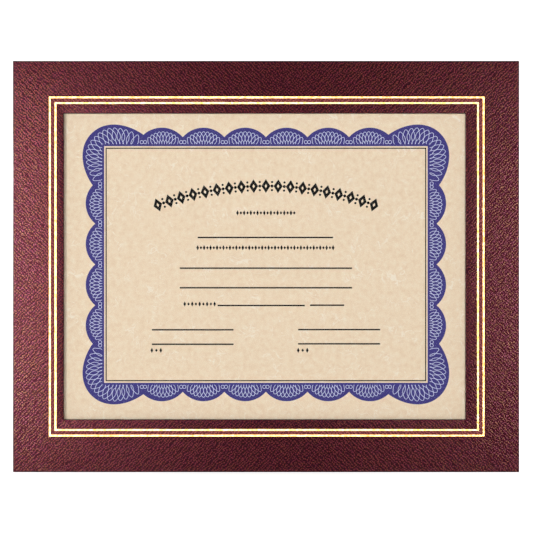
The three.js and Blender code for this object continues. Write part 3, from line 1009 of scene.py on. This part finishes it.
def finish_strip(piece, material):
    thicken(piece, CLOTH_T, 0)
    apply_modifiers(piece)
    bpy.ops.object.shade_smooth_by_angle(angle=math.radians(40))
    settle(piece, EASEL)
    piece.data.materials.append(material)


lift = GLUE + CLOTH_T / 2
fold = lift * math.tan(LEG_OPEN / 2)
cloth_path = rounded([(CLOTH_REACH, lift), (fold, lift), on_leg(-CLOTH_REACH, lift)])
hinge = strip_along("hinge_cloth_strip", cloth_path, CLOTH_W, rows=64, columns=40)
finish_strip(hinge, woven("black_book_cloth", CLOTH_BLACK, warp=70, weft=54, depth=0.0001))
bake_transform(hinge)
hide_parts("hinge_cloth")

# Stay ribbon: a narrow black grosgrain ribbon, its ends glued to the back panel and to the inside of
# the leg. It is made as the open leg pulls it tight; the folded leg would press it flat against the panel,
# which nothing here models.
LEG_T = 0.0027
RIBBON_W = 0.010
RIBBON_AT = 0.105
RIBBON_TAIL = 0.014
RIBBON_BLACK = (0.02, 0.018, 0.019)
panel_y = -LEG_T + CLOTH_T / 2
leg_y = -LEG_T - GLUE - CLOTH_T / 2
ribbon_path = rounded([
    (-RIBBON_AT - RIBBON_TAIL, panel_y),
    (-RIBBON_AT, panel_y),
    on_leg(-RIBBON_AT, leg_y),
    on_leg(-RIBBON_AT - RIBBON_TAIL, leg_y),
])
ribbon = strip_along("stay_ribbon_strip", ribbon_path, RIBBON_W, rows=150, columns=14)
finish_strip(ribbon, woven("black_grosgrain", RIBBON_BLACK, warp=24, weft=120, depth=0.00012))
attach(ribbon, "frame")
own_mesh(ribbon)
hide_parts("stay_ribbon")

# Ring hangers: a stamped brass strap curled round a split wire ring, with two prongs pushed into
# the back board, one hanger at the top edge and one at the right.
BACK_Y = 0.0075
TOP_HANGER_Z = 0.256
SIDE_HANGER_X = 0.112
STRAP_T = 0.0004
STRAP_W = 0.005
STRAP_LENGTH = 0.012
STRAP_EDGE = 0.0001
CURL_R = 0.0014
CURL_TURN = math.radians(230)
CURL_STEPS = 20
PRONG_FROM = 0.0007
PRONG_TO = 0.0023
PRONG_LENGTH = 0.0022
RING_R = 0.0065
WIRE_R = 0.00075
RING_SET = 0.00025
SPLIT_AT = 0.0003
SPLIT_HALF = 0.00026
BRASS = [(0.35, (0.42, 0.25, 0.05)), (0.6, (0.72, 0.48, 0.13))]
strap_y = GLUE + STRAP_T / 2
curl_y = strap_y + CURL_R

brass, tree, shader = new_material("hanger_brass")
tarnish = noise(tree, object_coordinates(tree), scale=500, detail=4, roughness=0.65)
tint(tree, shader, tarnish, BRASS)
shader.inputs["Metallic"].default_value = 1
roughen(tree, shader, tarnish, at_low=0.42, at_high=0.25)
bump(tree, shader, tarnish, distance=0.00002)


def on_prong(middle):
    return middle.z < -STRAP_LENGTH + MERGE and PRONG_FROM < abs(middle.x) < PRONG_TO


def in_split(middle):
    return middle.z > -RING_R and abs(middle.x - SPLIT_AT) < SPLIT_HALF


def hanger(label, mount, swing):
    """A strap and its ring, modelled round the ring's pivot and put in place by mount."""
    path = []
    for i in range(CURL_STEPS + 1):
        angle = -math.pi / 2 - CURL_TURN * (1 - i / CURL_STEPS)
        path.append((CURL_R * math.cos(angle), curl_y + CURL_R * math.sin(angle)))
    path.append((-STRAP_LENGTH, strap_y))
    strap = strip_along(f"{label}_strap", path, STRAP_W, rows=90, columns=15)
    edit(strap)
    pick(strap, "EDGE", on_prong)
    bpy.ops.mesh.extrude_edges_move(TRANSFORM_OT_translate={"value": (0, -PRONG_LENGTH, 0)})
    leave_edit()
    thicken(strap, STRAP_T, 0)
    soft = strap.modifiers.new("soft_edges", "BEVEL")
    soft.width = STRAP_EDGE
    soft.segments = 2
    soft.limit_method = "ANGLE"
    apply_modifiers(strap)
    bpy.ops.object.shade_smooth_by_angle(angle=math.radians(35))
    settle(strap, mount)
    strap.data.materials.append(brass)
    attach(strap, "frame")
    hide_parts(f"{label}_hanger_strap")

    bpy.ops.object.select_all(action="DESELECT")
    bpy.ops.mesh.primitive_torus_add(
        major_radius=RING_R, minor_radius=WIRE_R, major_segments=96, minor_segments=16,
        rotation=(math.pi / 2, 0, 0), location=(0, 0, -(RING_R - RING_SET)),
    )
    ring = bpy.context.object
    ring.name = ring.data.name = f"{label}_ring_wire"
    bpy.ops.object.transform_apply(location=True, rotation=True, scale=True)
    edit(ring)
    pick(ring, "FACE", in_split)
    bpy.ops.mesh.delete(type="FACE")
    pick_rims()
    bpy.ops.mesh.fill_holes(sides=0)
    leave_edit()
    bpy.ops.object.shade_smooth_by_angle(angle=math.radians(35))
    settle(ring, mount @ Matrix.Translation((0, curl_y, 0)) @ Matrix.Rotation(swing, 4, "X"))
    ring.data.materials.append(brass)
    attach(ring, f"{label}_ring")
    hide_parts(f"{label}_hanger_ring")


side_place = PANEL @ Matrix.Translation((SIDE_HANGER_X, BACK_Y, MIDDLE_Z))
hanger("top", PANEL @ Matrix.Translation((0, BACK_Y, TOP_HANGER_Z)), LEAN)
hanger("side", side_place @ Matrix.Rotation(math.pi / 2, 4, "Y"), math.pi / 2)

# Studio: a plain pale floor in a pale room. Two soft lamps light the front, the left one the stronger,
# and one lights the back. Four cards round the camera show only in glossy surfaces, and give the
# leatherette its gloss.
WHITE = (1, 1, 1, 1)
PALE_GREY = (0.85, 0.85, 0.85, 1)
FLOOR_SIZE = 30
NEAR_FLOOR = 0.7
FADE_FROM = 0.08
FADE_TO = 0.3
ROOM_LIGHT = 0.17
CARD_Y = -0.85
SIDE_CARD = (0.2, 0.47)


def shown(tree):
    """1 for what is seen directly, through the clear sheet or in a gloss, and 0 for what gives light."""
    path = tree.nodes.new("ShaderNodeLightPath")
    seen = together(tree, "MAXIMUM", path.outputs["Is Camera Ray"], path.outputs["Is Transmission Ray"])
    return together(tree, "MAXIMUM", seen, path.outputs["Is Glossy Ray"])


bpy.ops.object.select_all(action="DESELECT")
bpy.ops.mesh.primitive_plane_add(size=FLOOR_SIZE)
floor = bpy.context.object
floor.name = floor.data.name = "floor"
pale, tree, shader = new_material("pale_floor")
shader.inputs["Base Color"].default_value = PALE_GREY
shader.inputs["Roughness"].default_value = 0.9
shader.inputs["Specular IOR Level"].default_value = 0.1
shader.inputs["Emission Color"].default_value = WHITE
place = tree.nodes.new("ShaderNodeTexCoord")
away = vector_step(tree, "LENGTH", place.outputs["Object"])["Value"]
fade = spread(tree, away, NEAR_FLOOR, 1, FADE_FROM, FADE_TO)
tree.links.new(together(tree, "MULTIPLY", shown(tree), fade), shader.inputs["Emission Strength"])
floor.data.materials.append(pale)

world = bpy.data.worlds.new("studio")
bpy.context.scene.world = world
world.use_nodes = True
tree = world.node_tree
background = tree.nodes["Background"]
background.inputs["Color"].default_value = WHITE
tree.links.new(spread(tree, shown(tree), ROOM_LIGHT, 1), background.inputs["Strength"])


def soft_box(name, place, size, power):
    """An area light placed in the panel's own frame and turned to the middle of its face."""
    bpy.ops.object.light_add(type="AREA")
    lamp = bpy.context.object
    lamp.name = lamp.data.name = name
    lamp.data.shape = "RECTANGLE"
    lamp.data.size, lamp.data.size_y = size
    lamp.data.energy = power
    aim = (Vector((0, 0, MIDDLE_Z)) - Vector(place)).to_track_quat("-Z", "Y")
    lamp.matrix_world = PANEL @ Matrix.Translation(place) @ aim.to_matrix().to_4x4()
    return lamp


for card in (
    soft_box("left_card", place=(-0.37, CARD_Y, MIDDLE_Z), size=SIDE_CARD, power=13.5),
    soft_box("right_card", place=(0.4, CARD_Y, MIDDLE_Z), size=SIDE_CARD, power=6.9),
    soft_box("upper_card", place=(0, CARD_Y, MIDDLE_Z + 0.42), size=(0.7, 0.16), power=0.7),
    soft_box("lower_card", place=(0, CARD_Y, MIDDLE_Z - 0.325), size=(0.7, 0.06), power=0.35),
):
    card.visible_diffuse = False
    card.visible_transmission = False
for lamp in (
    soft_box("left_key", place=(-1.2, -2.85, MIDDLE_Z), size=(0.75, 0.75), power=39),
    soft_box("front_fill", place=(0.22, -2.0, MIDDLE_Z), size=(0.7, 0.7), power=13.5),
):
    lamp.visible_glossy = False
    lamp.visible_transmission = False
soft_box("back_box", place=(-0.5, 1.0, 0.8), size=(0.5, 0.5), power=13)

bpy.context.scene.view_settings.view_transform = "Standard"
